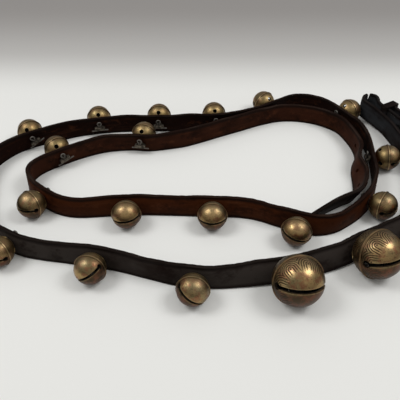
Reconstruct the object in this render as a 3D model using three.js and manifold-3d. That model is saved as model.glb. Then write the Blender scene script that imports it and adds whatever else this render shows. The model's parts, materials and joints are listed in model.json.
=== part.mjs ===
// Sleigh bell strap: cast brass crotal bells on a leather strap that stands on edge in a loose spiral.
// Millimetres, +Z up. The table is z = 0 and the origin is under the middle of the whole object.
import * as THREE from "three";
import { mergeVertices } from "three/addons/utils/BufferGeometryUtils.js";
import Module from "manifold-3d";

// Driving dimensions: the strap
const STRAP_WIDTH = 25.4;
const STRAP_THICKNESS = 4;
const TAIL_TAPER = 34;
const TAIL_TIP_WIDTH = 9;
const PUNCH_DIAMETER = 5;
const PUNCH_PITCH = 26;
const PUNCH_COUNT = 5;
const PUNCH_FROM_TIP = 52;
const STATION_SPACING = 52;
const STATION_TURN = 0.42; // radians that the strap may turn from one station to the next
const SEAT_LENGTH = 15; // flat length of strap under each bell
const UPRIGHT_LENGTH = 100; // of the main run from its start
const LEAN_BETWEEN_BELLS = 3; // degrees

// Driving dimensions: the bells, small and large
const SMALL_BELL = {
  body: 29.6,
  wall: 2.2,
  ribHeight: 0.6,
  ribWidth: 1.8,
  slotWidth: 2.7,
  slotEnd: 4.2,
  soundHole: 5.2,
  pellet: 9,
  cotterEye: 7,
  cotterTop: 8.6,
  segments: 10,
};
const LARGE_BELL = {
  body: 46.2,
  wall: 2.8,
  ribHeight: 0.8,
  ribWidth: 2.4,
  slotWidth: 3.9,
  slotEnd: 6,
  soundHole: 7.2,
  pellet: 14,
  cotterEye: 8.5,
  cotterTop: 10.2,
  segments: 12,
};
const BELL_RINGS = 6;
const HOLLOW_SEGMENTS = 8; // a multiple of four, so that a pellet clears it at each quarter turn
const HOLLOW_RINGS = 4;
const SLOT_REACH = 73; // degrees from the outer pole to the round end of the slot
const SOUND_HOLE_ANGLE = 48; // degrees from the shank to a sound hole
const BELL_STANDOFF = 0.4;
const PELLET_GAP = 0.3;

// Driving dimensions: the shank, and the cotter that locks it on the inside of the strap
const NECK_DIAMETER = 7;
const NECK_CLEARANCE = 0.4;
const TAB_GAP = 0.9;
const TAB_WIDTH = 13;
const TAB_HEIGHT = 4.5;
const TAB_LENGTH = 5.5;
const COTTER_WIRE = 1.8;
const COTTER_LEG_SPREAD = 21;
const COTTER_LEG_DROP = 3.5; // from the shank's axis to the middle of a leg

// Driving dimensions: the buckle end, which lies bent back beside the main run
const BEND_RADIUS = 10; // to the middle of the leather
const BEND_LEAD = 3.5; // from the bend to the first point of the route
const TEAR_WIDTH = 4;
const TEAR_DEPTH = 12;
const TEAR_TURN = 25; // round the bend from its tip, in degrees
const BACK_OFFSET = 8.5; // from the main run to the bent-back run where they lie side by side
const CLOSE_PLACE = 24; // where they come to lie side by side, along the main run
const HEEL_PLACE = 48; // of the buckle's heel bar, along the main run
const CHAPE_RETURN = 30; // of the leather past the heel bar
const RETURN_GAP = 7.5; // between the two layers at the cut end
const LIFT_PLACE = 60; // along the main run, where the leather leaves the table
const LIFT_LENGTH = 90;
const CREW_SLOT_HEIGHT = 5.6;
const CREW_SLOT_REACH = 7;
const BUCKLE_BAR = 4;
const BUCKLE_BEVEL = 0.8;
const BUCKLE_LENGTH = 36;
const BUCKLE_FLARE = 1;
const BUCKLE_SIDE_PLAY = 1;
const BUCKLE_HEEL_GAP = 0.8;
const BUCKLE_TABLE_GAP = 0.3;
const TONGUE_WIDTH = 4.4;
const TONGUE_THICKNESS = 3;
const TONGUE_PLAY = 0.3;
const TONGUE_OVERHANG = 3;
const KEEPER_PLACE = 25; // along the main run
const KEEPER_WIDTH = 10;
const KEEPER_WALL = 2;
const KEEPER_PLAY = 1.1;
const KEEPER_SIDE_PLAY = 0.8;

// Foot of the main run on the table, from the bend at the buckle end to the tip of the tail
const ROUTE = [
  [222, 138], [230, 124], [238, 110], [243, 93], [246, 72], [248, 51], [250, 22], [249, -6],
  [245, -32], [237, -54], [224, -72], [207, -85], [183, -98], [160, -110], [139, -122],
  [118, -131], [90, -140], [64, -145], [36, -148], [9, -149], [-23, -145], [-46, -138],
  [-75, -129], [-102, -123], [-129, -118], [-153, -114], [-171, -110], [-184, -104],
  [-198, -95], [-219, -76], [-236, -49], [-246, -18], [-248, 11], [-244, 35], [-236, 51],
  [-224, 66], [-200, 82], [-177, 93], [-148, 104], [-111, 111], [-72, 113], [-34, 114],
  [-3, 116], [36, 120], [69, 131], [86, 142], [104, 155], [121, 165], [138, 168], [154, 165],
  [169, 157], [182, 143], [195, 119], [203, 101], [207, 80], [208, 55], [205, 28], [197, -8],
  [187, -33], [169, -55], [154, -67], [138, -77], [118, -81], [97, -75], [79, -67], [60, -58],
  [42, -54], [12, -53], [-20, -51], [-60, -50], [-98, -52], [-123, -54], [-138, -53],
  [-151, -49], [-163, -42], [-174, -33], [-185, -21], [-193, -6], [-194, 6], [-189, 18],
  [-181, 27], [-170, 36], [-143, 54], [-115, 66], [-85, 70], [-63, 68], [-40, 72], [-18, 78],
  [5, 89], [28, 101], [52, 113], [77, 126], [103, 136], [120, 138], [137, 136], [153, 131],
  [168, 122], [181, 109], [188, 90], [192, 68], [191, 49], [184, 34], [179, 18], [176, 0],
  [173, -15], [166, -28], [154, -35], [139, -44], [125, -54], [113, -62],
];

// Each bell's distance from the first point of the route, and how far it hangs turned on its shank, in degrees
const LARGE_BELL_PLACES = [[218, 0], [302, -3], [381, -5]];
const SMALL_BELL_PLACES = [
  [468, -33], [564, 35], [653, 0], [763, 0], [873, -27], [957, 0], [1034, 0], [1108, 0], [1193, 0],
  [1303, 0], [1405, 0], [1488, 0], [1581, -12], [1673, 2], [1763, 8], [1858, 5], [1958, -17], [2057, 0],
];

// Lean of the plain tail past the last bell: distance along the route, degrees towards the inside of the turn
const TAIL_LEANS = [
  [2110, 0], [2330, 0], [2378, -2], [2416, -9], [2448, -28], [2470, -22], [2540, -20],
];

const UP = new THREE.Vector3(0, 0, 1);
const wasm = await Module();
wasm.setup();

// A closed geometry as a solid that can be joined and cut.
function toSolid(geometry) {
  const plain = geometry.clone();
  plain.deleteAttribute("normal");
  plain.deleteAttribute("uv");
  const merged = mergeVertices(plain, 1e-4);
  const corners = merged.index.array;
  const triVerts = [];
  for (let i = 0; i < corners.length; i += 3) {
    const [a, b, c] = corners.slice(i, i + 3);
    if (a !== b && b !== c && c !== a) triVerts.push(a, b, c);
  }
  const vertProperties = merged.attributes.position.array;
  return new wasm.Manifold(
    new wasm.Mesh({ numProp: 3, vertProperties, triVerts: new Uint32Array(triVerts) }),
  );
}

// A solid back as a geometry that a mesh can show.
function toGeometry(solid) {
  const { vertProperties, triVerts } = solid.getMesh();
  const geometry = new THREE.BufferGeometry();
  geometry.setAttribute("position", new THREE.BufferAttribute(vertProperties, 3));
  geometry.setIndex(new THREE.BufferAttribute(triVerts, 1));
  geometry.computeVertexNormals();
  return geometry;
}

// A geometry moved from its own frame to the frame of three axes and an origin.
function placed(geometry, xAxis, yAxis, zAxis, origin) {
  const matrix = new THREE.Matrix4().makeBasis(xAxis, yAxis, zAxis).setPosition(origin);
  return geometry.applyMatrix4(matrix);
}

const radians = THREE.MathUtils.degToRad;
const smooth = (x) => THREE.MathUtils.smoothstep(x, 0, 1);

// Bells

const bellRadius = (size) => size.body / 2;
const bellReach = (size) => STRAP_THICKNESS / 2 + BELL_STANDOFF + bellRadius(size);

// Lean, in radians, at which a bell and the lower edge of the strap both touch the table: the bell lies on its
// rib, or on its body where the lean is large.
function restLean(size) {
  const reach = bellReach(size) + STRAP_THICKNESS / 2;
  const half = STRAP_WIDTH / 2;
  const onRib = Math.atan((bellRadius(size) + size.ribHeight - half) / reach);
  const onBody = Math.asin(bellRadius(size) / Math.hypot(half, reach)) - Math.atan2(half, reach);
  return Math.max(onRib, onBody);
}

// A ball on the Z axis, turned from a profile, with an optional rib round its middle.
function turnedBall(radius, rings, segments, ribHeight = 0, ribWidth = 0) {
  const onBall = (angle) => new THREE.Vector2(radius * Math.sin(angle), -radius * Math.cos(angle));
  const ribAngle = Math.asin(ribWidth / 2 / radius);
  const profile = [new THREE.Vector2(0, -radius)];
  for (let i = 1; i < rings; i++) {
    const angle = (Math.PI * i) / rings;
    if (ribHeight > 0 && i * 2 === rings) {
      profile.push(onBall(angle - ribAngle), new THREE.Vector2(radius + ribHeight, 0), onBall(angle + ribAngle));
    } else {
      profile.push(onBall(angle));
    }
  }
  profile.push(new THREE.Vector2(0, radius));
  return new THREE.LatheGeometry(profile, segments).rotateX(Math.PI / 2);
}

// A round cutter from the bell's centre outwards, at an angle from the outer pole towards a side axis.
function radialCutter(diameter, length, angle, side) {
  const direction = new THREE.Vector3(0, 0, Math.cos(angle)).addScaledVector(side, Math.sin(angle));
  const turn = new THREE.Quaternion().setFromUnitVectors(new THREE.Vector3(0, 1, 0), direction);
  return new THREE.CylinderGeometry(diameter / 2, diameter / 2, length, 5)
    .translate(0, length / 2, 0)
    .applyQuaternion(turn);
}

const hollowGeometry = (size) => turnedBall(bellRadius(size) - size.wall, HOLLOW_RINGS, HOLLOW_SEGMENTS);
const pelletGeometry = (size) => new THREE.IcosahedronGeometry(size.pellet / 2);

// The hollow ball of a bell about its own centre: rib, slot with round ends, and two sound holes by the shank.
function bellShell(size) {
  const radius = bellRadius(size);
  const reach = radius * 1.3;
  const sideX = new THREE.Vector3(1, 0, 0);
  const sideY = new THREE.Vector3(0, 1, 0);
  const slotFloor = radius * Math.cos(radians(SLOT_REACH));
  const cutters = [
    hollowGeometry(size),
    new THREE.BoxGeometry(2 * reach, size.slotWidth, reach).translate(0, 0, slotFloor + reach / 2),
  ];
  for (const sign of [-1, 1]) {
    cutters.push(radialCutter(size.slotEnd, reach, radians(sign * SLOT_REACH), sideX));
    cutters.push(radialCutter(size.soundHole, reach, Math.PI + radians(sign * SOUND_HOLE_ANGLE), sideY));
  }
  const ball = toSolid(turnedBall(radius, BELL_RINGS, size.segments, size.ribHeight, size.ribWidth));
  return cutters.reduce((solid, cutter) => solid.subtract(toSolid(cutter)), ball);
}

// A split pin seen square on: round eye above the tab, legs bent out below it.
function cotterOutline(size) {
  const wire = COTTER_WIRE;
  const spread = COTTER_LEG_SPREAD / 2;
  const eye = size.cotterEye / 2;
  const centre = size.cotterTop - eye;
  const around = (radius, degrees) => [
    radius * Math.cos(radians(degrees)),
    centre + radius * Math.sin(radians(degrees)),
  ];
  const right = [
    [spread, -COTTER_LEG_DROP],
    [wire, -TAB_HEIGHT / 2],
    [wire, TAB_HEIGHT / 2],
    ...[0, 60].map((degrees) => around(eye, degrees)),
  ];
  const left = right.map(([x, y]) => [-x, y]).reverse();
  const outline = [[0, -COTTER_LEG_DROP - wire], ...right, ...left];
  const hole = [0, 90, 180, 270].map((degrees) => around(eye - wire, degrees));
  const toPoints = (pairs) => pairs.map(([x, y]) => new THREE.Vector2(x, y));
  const shape = new THREE.Shape(toPoints(outline));
  shape.holes.push(new THREE.Path(toPoints(hole)));
  return shape;
}

// A bell with its shank and cotter. The frame sits in the middle of the strap: Z out along the shank, Y up.
function bellGeometry(size) {
  const insideFace = -STRAP_THICKNESS / 2;
  const tabStart = insideFace - TAB_GAP;
  const tabEnd = tabStart - TAB_LENGTH;
  const neckEnd = bellReach(size) - bellRadius(size) + size.wall / 2;
  const neckLength = neckEnd - tabStart + TAB_LENGTH / 4;
  const neck = new THREE.CylinderGeometry(NECK_DIAMETER / 2, NECK_DIAMETER / 2, neckLength, 6)
    .rotateX(Math.PI / 2)
    .translate(0, 0, neckEnd - neckLength / 2);
  const tab = new THREE.BoxGeometry(TAB_WIDTH, TAB_HEIGHT, TAB_LENGTH).translate(0, 0, tabStart - TAB_LENGTH / 2);
  const cotter = new THREE.ExtrudeGeometry(cotterOutline(size), { depth: COTTER_WIRE, bevelEnabled: false });
  cotter.translate(0, 0, (tabStart + tabEnd) / 2 - COTTER_WIRE / 2);
  const shell = bellShell(size).translate([0, 0, bellReach(size)]);
  return toGeometry(shell.add(toSolid(neck)).add(toSolid(tab)).add(toSolid(cotter)));
}

// How far the pellet of a bell falls from its centre, in a direction of the bell's frame, until it meets a facet
// of the hollow.
function pelletDrop(size, down) {
  const hollow = hollowGeometry(size).toNonIndexed().attributes.position;
  const pellet = pelletGeometry(size).attributes.position;
  const facet = new THREE.Triangle();
  const normal = new THREE.Vector3();
  const point = new THREE.Vector3();
  let drop = Infinity;
  for (let i = 0; i < hollow.count; i += 3) {
    facet.setFromAttributeAndIndices(hollow, i, i + 1, i + 2).getNormal(normal);
    const fall = normal.dot(down);
    if (fall <= 0) continue;
    let reach = 0;
    for (let k = 0; k < pellet.count; k++) {
      reach = Math.max(reach, normal.dot(point.fromBufferAttribute(pellet, k)));
    }
    drop = Math.min(drop, (normal.dot(facet.a) - reach - PELLET_GAP) / fall);
  }
  return drop;
}

// The strap

const radiusOfWrap = BUCKLE_BAR / 2 + BUCKLE_HEEL_GAP + STRAP_THICKNESS / 2;
const heelOffset = BACK_OFFSET + radiusOfWrap;
const routePoints = ROUTE.map(([x, y]) => new THREE.Vector3(x, y, 0));
const mainRun = new THREE.CatmullRomCurve3(routePoints);
mainRun.arcLengthDivisions = 6000;

// Point, direction and outward side of the main run on the table, or of its straight extension before its start.
function runFrame(along) {
  const share = Math.max(along, 0) / mainRun.getLength();
  const way = mainRun.getTangentAt(share);
  const point = mainRun.getPointAt(share).addScaledVector(way, Math.min(along, 0));
  return { point, way, outward: new THREE.Vector3(-way.y, way.x, 0) };
}

// A point on the table beside the main run: so far along it, and so far out from it.
function besideRun(along, out) {
  const { point, outward } = runFrame(along);
  return point.addScaledVector(outward, out);
}

// A point on a turn of the leather beside the main run, by degrees from its inner side.
function onTurn(along, out, radius, degrees) {
  const { way, outward } = runFrame(along);
  const point = besideRun(along, out).addScaledVector(way, radius * Math.sin(radians(degrees)));
  return point.addScaledVector(outward, -radius * Math.cos(radians(degrees)));
}

// Offset of the bent-back run from the main run.
function backOffset(along) {
  const left = Math.max(0, CLOSE_PLACE - along) / (CLOSE_PLACE + BEND_LEAD);
  return BACK_OFFSET + (2 * BEND_RADIUS - BACK_OFFSET) * left * left;
}

const cutEnd = HEEL_PLACE - CHAPE_RETURN;

// Offset of the leather that comes back from the heel bar.
function returnOffset(along) {
  const start = backOffset(cutEnd) + STRAP_THICKNESS + RETURN_GAP;
  return THREE.MathUtils.lerp(start, heelOffset + radiusOfWrap, (along - cutEnd) / CHAPE_RETURN);
}

// Middle line of the bent-back end, from its cut end: round the heel bar, beside the main run, round the bend.
function endPoints() {
  const halfTurn = [180, 135, 90, 45, 0];
  const returned = [cutEnd, cutEnd + CHAPE_RETURN / 2];
  const back = [0.8, 0.6, 0.4, 0.2].map((share) => HEEL_PLACE * share);
  return [
    ...returned.map((along) => besideRun(along, returnOffset(along))),
    ...halfTurn.map((degrees) => onTurn(HEEL_PLACE, heelOffset, radiusOfWrap, degrees)),
    ...back.map((along) => besideRun(along, backOffset(along))),
    ...halfTurn.map((degrees) => onTurn(-BEND_LEAD, BEND_RADIUS, BEND_RADIUS, -degrees)),
  ];
}

const ends = endPoints();
const route = new THREE.CatmullRomCurve3([...ends, ...routePoints]);
route.arcLengthDivisions = 6000;
const routeLength = route.getLength();
const endShare = ends.length / (ends.length + routePoints.length - 1);
const endLength = route.getLengths()[Math.round(endShare * route.arcLengthDivisions)];
const strapLength = routeLength - endLength;

// Share of the whole strap at a distance from the first point of the route, below zero on the bent-back end.
const shareAt = (place) => THREE.MathUtils.clamp((place + endLength) / routeLength, 0, 1);

const bells = [
  ...LARGE_BELL_PLACES.map(([place, turn]) => ({ place, turn, size: LARGE_BELL })),
  ...SMALL_BELL_PLACES.map(([place, turn]) => ({ place, turn, size: SMALL_BELL })),
];

// Lean by distance along the route: upright at its start, leaning at each bell, easing between small bells.
const leanKeys = [[0, 0], [UPRIGHT_LENGTH, 0]];
bells.forEach(({ place, size }, i) => {
  const before = bells[i - 1];
  if (before && before.size === SMALL_BELL) {
    leanKeys.push([(before.place + place) / 2, radians(LEAN_BETWEEN_BELLS)]);
  }
  leanKeys.push([place - SEAT_LENGTH / 2, restLean(size)], [place + SEAT_LENGTH / 2, restLean(size)]);
});
leanKeys.push(...TAIL_LEANS.map(([place, lean]) => [place, radians(lean)]));

function leanAt(place) {
  const next = leanKeys.findIndex(([key]) => key > place);
  if (next < 1) return leanKeys.at(next)[1];
  const [start, from] = leanKeys[next - 1];
  const [end, to] = leanKeys[next];
  return from + (to - from) * smooth((place - start) / (end - start));
}

const buckleHeelHalf = STRAP_WIDTH / 2 + BUCKLE_SIDE_PLAY + BUCKLE_BAR;
const buckleFarHalf = buckleHeelHalf + BUCKLE_FLARE;
const endLift = buckleFarHalf - STRAP_WIDTH / 2 + BUCKLE_TABLE_GAP;
const heel = besideRun(HEEL_PLACE, heelOffset).addScaledVector(UP, endLift + STRAP_WIDTH / 2);
const heelFrame = runFrame(HEEL_PLACE);

// The end rises towards the buckle, which stands on its lower bar.
function liftAt(place) {
  return endLift * smooth((LIFT_PLACE - place) / LIFT_LENGTH);
}

// The strap's own frame at a distance along the route: foot on the table, along, out through the face, and up.
function frameAt(place) {
  const foot = route.getPointAt(shareAt(place));
  const along = route.getTangentAt(shareAt(place));
  const outward = new THREE.Vector3(-along.y, along.x, 0);
  const lean = leanAt(place);
  const face = outward.clone().multiplyScalar(Math.cos(lean)).addScaledVector(UP, Math.sin(lean));
  const up = UP.clone().multiplyScalar(Math.cos(lean)).addScaledVector(outward, -Math.sin(lean));
  foot.z = liftAt(place) + (STRAP_THICKNESS / 2) * Math.abs(Math.sin(lean));
  return { foot, along, face, up, width: widthAt(place) };
}

// Full width, drawn in to a blunt point at the tail.
function widthAt(place) {
  const share = Math.max(0, 1 - (strapLength - place) / TAIL_TAPER);
  return STRAP_WIDTH - (STRAP_WIDTH - TAIL_TIP_WIDTH) * share * share;
}

// Distances of the stations: both ends of each bell's flat seat, and steps between that follow the bends.
function stationPlaces() {
  const probe = 0.25;
  const seatStarts = bells.map(({ place }) => place - SEAT_LENGTH / 2);
  const fixed = [-endLength, ...seatStarts.flatMap((start) => [start, start + SEAT_LENGTH])];
  fixed.push(strapLength - TAIL_TAPER, strapLength - TAIL_TAPER / 2, strapLength);
  const places = [];
  fixed.forEach((start, i) => {
    places.push(start);
    const end = fixed[i + 1];
    if (end === undefined || seatStarts.includes(start)) return;
    const needs = [0];
    for (let place = start + probe; place < end; place += probe) {
      const need = Math.max(probe / STATION_SPACING, turnBetween(place - probe, place) / STATION_TURN);
      needs.push(needs.at(-1) + need);
    }
    const steps = Math.ceil(needs.at(-1));
    for (let step = 1; step < steps; step++) {
      const part = (needs.at(-1) * step) / steps;
      places.push(start + probe * needs.findIndex((need) => need >= part));
    }
  });
  return places;
}

// Turn of the route between two places, in radians.
function turnBetween(start, end) {
  return route.getTangentAt(shareAt(start)).angleTo(route.getTangentAt(shareAt(end)));
}

// Frames of the whole strap. A seat's two stations share the frame of its bell, so the leather there is flat.
function strapStations() {
  return stationPlaces().map((place) => {
    const bell = bells.find((b) => Math.abs(b.place - place) <= SEAT_LENGTH / 2 + 0.01);
    if (!bell) return frameAt(place);
    const frame = frameAt(bell.place);
    frame.foot.addScaledVector(frame.along, place - bell.place);
    return frame;
  });
}

// A closed strip through four-cornered sections.
function stripGeometry(stations) {
  const points = [];
  for (const { foot, face, up, width } of stations) {
    const low = (STRAP_WIDTH - width) / 2;
    const corners = [[-1, low], [1, low], [1, low + width], [-1, low + width]];
    for (const [side, height] of corners) {
      const corner = foot.clone().addScaledVector(face, (side * STRAP_THICKNESS) / 2);
      points.push(corner.addScaledVector(up, height));
    }
  }
  const faces = [[0, 2, 1], [0, 3, 2]];
  const last = points.length - 4;
  faces.push([last, last + 1, last + 2], [last, last + 2, last + 3]);
  for (let base = 0; base < last; base += 4) {
    for (let k = 0; k < 4; k++) {
      const next = (k + 1) % 4;
      faces.push([base + k, base + next, base + 4 + next], [base + k, base + 4 + next, base + 4 + k]);
    }
  }
  const geometry = new THREE.BufferGeometry().setFromPoints(points);
  return geometry.setIndex(faces.flat());
}

// Smallest clear distance between stretches of strap that lie apart along it.
function leastGap(stations) {
  const apart = 80;
  const middles = stations.map(({ foot, up }) => foot.clone().addScaledVector(up, STRAP_WIDTH / 2));
  let along = 0;
  const distances = middles.map((point, i) => (along += i ? point.distanceTo(middles[i - 1]) : 0));
  let least = Infinity;
  for (let i = 0; i < middles.length; i++) {
    for (let j = i + 1; j < middles.length; j++) {
      if (distances[j] - distances[i] < apart) continue;
      least = Math.min(least, middles[i].distanceTo(middles[j]) - STRAP_THICKNESS);
    }
  }
  return least;
}

// A hole through the strap at a distance along the route, round a circle of a diameter.
function strapHole(place, diameter, sides) {
  const { foot, face, up } = frameAt(place);
  const middle = foot.clone().addScaledVector(up, STRAP_WIDTH / 2);
  const corner = diameter / 2 / Math.cos(Math.PI / sides);
  const cutter = new THREE.CylinderGeometry(corner, corner, 4 * STRAP_THICKNESS, sides);
  return placed(cutter.rotateX(Math.PI / 2), up.clone().cross(face), up, face, middle);
}

// The slot round the heel bar that the buckle's tongue works in, and the tear down the bend from its upper edge.
function endCutters() {
  const reach = radiusOfWrap + STRAP_THICKNESS;
  const slot = new THREE.BoxGeometry(CREW_SLOT_REACH + reach, 2 * reach, CREW_SLOT_HEIGHT);
  slot.translate((reach - CREW_SLOT_REACH) / 2, 0, 0);
  const tear = new THREE.BoxGeometry(2 * STRAP_THICKNESS, TEAR_WIDTH, 2 * TEAR_DEPTH).rotateZ(-radians(TEAR_TURN));
  const tearPlace = onTurn(-BEND_LEAD, BEND_RADIUS, BEND_RADIUS, -90 - TEAR_TURN);
  tearPlace.z = endLift + STRAP_WIDTH;
  const start = runFrame(0);
  return [
    placed(slot, heelFrame.way, heelFrame.outward, UP, heel),
    placed(tear, start.way, start.outward, UP, tearPlace),
  ];
}

function strapGeometry() {
  const stations = strapStations();
  console.log("least gap between turns of the strap, mm:", leastGap(stations).toFixed(1));
  const cutters = endCutters();
  for (const { place } of bells) cutters.push(strapHole(place, NECK_DIAMETER + 2 * NECK_CLEARANCE, 6));
  for (let i = 0; i < PUNCH_COUNT; i++) {
    cutters.push(strapHole(strapLength - PUNCH_FROM_TIP - i * PUNCH_PITCH, PUNCH_DIAMETER, 6));
  }
  return toGeometry(cutters.reduce((solid, c) => solid.subtract(toSolid(c)), toSolid(stripGeometry(stations))));
}

// The buckle end. The buckle's own frame: X from heel bar to far bar, Z up along the heel bar.

const buckleAngle = Math.atan2(heelFrame.way.y, heelFrame.way.x);

// A four-sided loop of bar, wider at the far end, with rounded far corners.
function buckleFrameGeometry() {
  const half = BUCKLE_BAR / 2;
  const loop = (path, grow) => {
    const near = -grow;
    const far = BUCKLE_LENGTH + grow;
    const nearHalf = buckleHeelHalf - half + grow;
    const farHalf = buckleFarHalf - half + grow;
    const corner = BUCKLE_BAR + grow;
    path.moveTo(near, -nearHalf);
    path.lineTo(far - corner, -farHalf);
    path.quadraticCurveTo(far, -farHalf, far, corner - farHalf);
    path.lineTo(far, farHalf - corner);
    path.quadraticCurveTo(far, farHalf, far - corner, farHalf);
    path.lineTo(near, nearHalf);
    path.closePath();
    return path;
  };
  const shape = loop(new THREE.Shape(), half);
  shape.holes.push(loop(new THREE.Path(), -half));
  const options = {
    depth: BUCKLE_BAR - 2 * BUCKLE_BEVEL,
    bevelThickness: BUCKLE_BEVEL,
    bevelSize: BUCKLE_BEVEL,
    bevelOffset: -BUCKLE_BEVEL,
    bevelSegments: 1,
    curveSegments: 3,
  };
  return new THREE.ExtrudeGeometry(shape, options).translate(0, 0, BUCKLE_BEVEL - half).rotateX(Math.PI / 2);
}

// A ring on the heel bar and a bar from it that lies on the far bar.
function buckleTongueGeometry() {
  const bore = BUCKLE_BAR * 0.6 + TONGUE_PLAY;
  const ring = bore + TONGUE_THICKNESS * 0.65;
  const seat = BUCKLE_BAR / 2 + TONGUE_PLAY;
  const tip = BUCKLE_LENGTH + BUCKLE_BAR / 2 + TONGUE_OVERHANG;
  const options = { depth: TONGUE_WIDTH, bevelEnabled: false, curveSegments: 6 };
  const eye = new THREE.Shape().absarc(0, 0, ring, 0, 2 * Math.PI);
  eye.holes.push(new THREE.Path().absarc(0, 0, bore, 0, 2 * Math.PI));
  const bar = new THREE.Shape([
    new THREE.Vector2(bore + 0.4, -TONGUE_THICKNESS / 2),
    new THREE.Vector2(BUCKLE_LENGTH - BUCKLE_BAR, seat),
    new THREE.Vector2(tip, seat),
    new THREE.Vector2(tip, seat + TONGUE_THICKNESS / 2),
    new THREE.Vector2(BUCKLE_LENGTH - BUCKLE_BAR, seat + TONGUE_THICKNESS),
    new THREE.Vector2(bore + 0.4, TONGUE_THICKNESS / 2),
  ]);
  const parts = [eye, bar].map((shape) => toSolid(new THREE.ExtrudeGeometry(shape, options)));
  return toGeometry(parts[0].add(parts[1])).translate(0, 0, -TONGUE_WIDTH / 2);
}

// A leather loop round the bent-back run and the leather returned from the heel bar.
function keeperGeometry() {
  const inside = backOffset(KEEPER_PLACE);
  const outside = returnOffset(KEEPER_PLACE);
  const innerX = (outside - inside + STRAP_THICKNESS) / 2 + KEEPER_PLAY;
  const innerY = STRAP_WIDTH / 2 + KEEPER_SIDE_PLAY;
  const loop = (path, halfX, halfY) => {
    path.moveTo(-halfX, -halfY);
    path.lineTo(halfX, -halfY);
    path.lineTo(halfX, halfY);
    path.lineTo(-halfX, halfY);
    path.closePath();
    return path;
  };
  const shape = loop(new THREE.Shape(), innerX + KEEPER_WALL, innerY + KEEPER_WALL);
  shape.holes.push(loop(new THREE.Path(), innerX, innerY));
  const geometry = new THREE.ExtrudeGeometry(shape, { depth: KEEPER_WIDTH, bevelEnabled: false });
  const middle = besideRun(KEEPER_PLACE, (inside + outside) / 2);
  middle.addScaledVector(UP, endLift + STRAP_WIDTH / 2);
  const { way, outward } = runFrame(KEEPER_PLACE);
  return placed(geometry.translate(0, 0, -KEEPER_WIDTH / 2), outward, UP, way, middle);
}

// Assembly

const leather = new THREE.MeshStandardMaterial({ color: 0x2a1a14, roughness: 0.6, metalness: 0 });
const brass = new THREE.MeshStandardMaterial({ color: 0x8a6a3a, roughness: 0.4, metalness: 1 });
const iron = new THREE.MeshStandardMaterial({ color: 0x4a4742, roughness: 0.6, metalness: 1 });
const japan = new THREE.MeshStandardMaterial({ color: 0x151515, roughness: 0.5, metalness: 0.4 });

const layout = new THREE.Group();

function addPiece(parent, name, geometry, material) {
  const mesh = new THREE.Mesh(geometry, material);
  mesh.name = name;
  parent.add(mesh);
  return mesh;
}

addPiece(layout, "strap", strapGeometry(), leather);
addPiece(layout, "keeper", keeperGeometry(), leather);

const buckle = new THREE.Group();
buckle.position.copy(heel);
buckle.rotation.z = buckleAngle;
layout.add(buckle);
addPiece(buckle, "buckle_frame", buckleFrameGeometry(), japan);
addPiece(buckle, "buckle_tongue", buckleTongueGeometry(), japan);

const bellShapes = new Map([LARGE_BELL, SMALL_BELL].map((size) => [size, bellGeometry(size)]));
bells.forEach(({ place, turn, size }, i) => {
  const number = String(i + 1).padStart(2, "0");
  const { foot, face, up } = frameAt(place);
  const middle = foot.clone().addScaledVector(up, STRAP_WIDTH / 2);
  const basis = new THREE.Matrix4().makeBasis(up.clone().cross(face), up, face);
  const bell = addPiece(layout, `bell_${number}`, bellShapes.get(size), brass);
  bell.quaternion.setFromRotationMatrix(basis);
  bell.rotateZ(radians(turn));
  bell.position.copy(middle);
  const pellet = addPiece(layout, `pellet_${number}`, pelletGeometry(size), iron);
  const down = UP.clone().negate();
  const downInBell = down.clone().applyQuaternion(bell.quaternion.clone().invert());
  pellet.quaternion.copy(bell.quaternion);
  pellet.position.copy(middle).addScaledVector(face, bellReach(size));
  pellet.position.addScaledVector(down, pelletDrop(size, downInBell));
});

// The origin is under the middle of the whole object.
const box = new THREE.Box3().setFromObject(layout, true);
const centre = box.getCenter(new THREE.Vector3());
layout.position.set(-centre.x, -centre.y, -box.min.z);

const sleighBellStrap = new THREE.Group();
sleighBellStrap.add(layout);

export default sleighBellStrap;
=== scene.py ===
"""Looks of a sleigh bell strap: cast bells on a leather strap that stands on edge in a loose spiral."""

import json
import math

import bpy
from mathutils import Matrix, Vector, noise


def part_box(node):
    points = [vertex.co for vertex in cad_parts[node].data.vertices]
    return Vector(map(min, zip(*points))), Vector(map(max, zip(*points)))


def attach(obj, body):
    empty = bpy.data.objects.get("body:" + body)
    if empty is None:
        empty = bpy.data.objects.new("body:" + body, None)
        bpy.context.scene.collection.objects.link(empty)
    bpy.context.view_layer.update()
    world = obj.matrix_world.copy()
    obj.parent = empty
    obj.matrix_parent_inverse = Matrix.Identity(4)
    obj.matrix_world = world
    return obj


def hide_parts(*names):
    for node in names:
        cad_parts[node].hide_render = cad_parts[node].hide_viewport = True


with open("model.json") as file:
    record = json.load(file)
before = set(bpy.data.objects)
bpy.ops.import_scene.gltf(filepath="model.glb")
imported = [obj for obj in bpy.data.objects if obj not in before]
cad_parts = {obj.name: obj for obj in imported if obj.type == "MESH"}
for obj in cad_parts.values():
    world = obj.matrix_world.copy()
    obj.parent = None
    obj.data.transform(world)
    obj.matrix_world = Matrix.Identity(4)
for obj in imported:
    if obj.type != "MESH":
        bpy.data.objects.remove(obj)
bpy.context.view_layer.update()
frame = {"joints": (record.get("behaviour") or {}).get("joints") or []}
MM = 0.001

# Strap sizes, as in the solids
STRAP_WIDTH = 25.4 * MM
STRAP_THICKNESS = 4 * MM
TAIL_TAPER = 34 * MM
TAIL_TIP_WIDTH = 9 * MM
PUNCH_DIAMETER = 5 * MM
PUNCH_PITCH = 26 * MM
PUNCH_COUNT = 5
PUNCH_FROM_TIP = 52 * MM
UPRIGHT_LENGTH = 100 * MM
SEAT_LENGTH = 15 * MM
LEAN_BETWEEN_BELLS = 3

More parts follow.
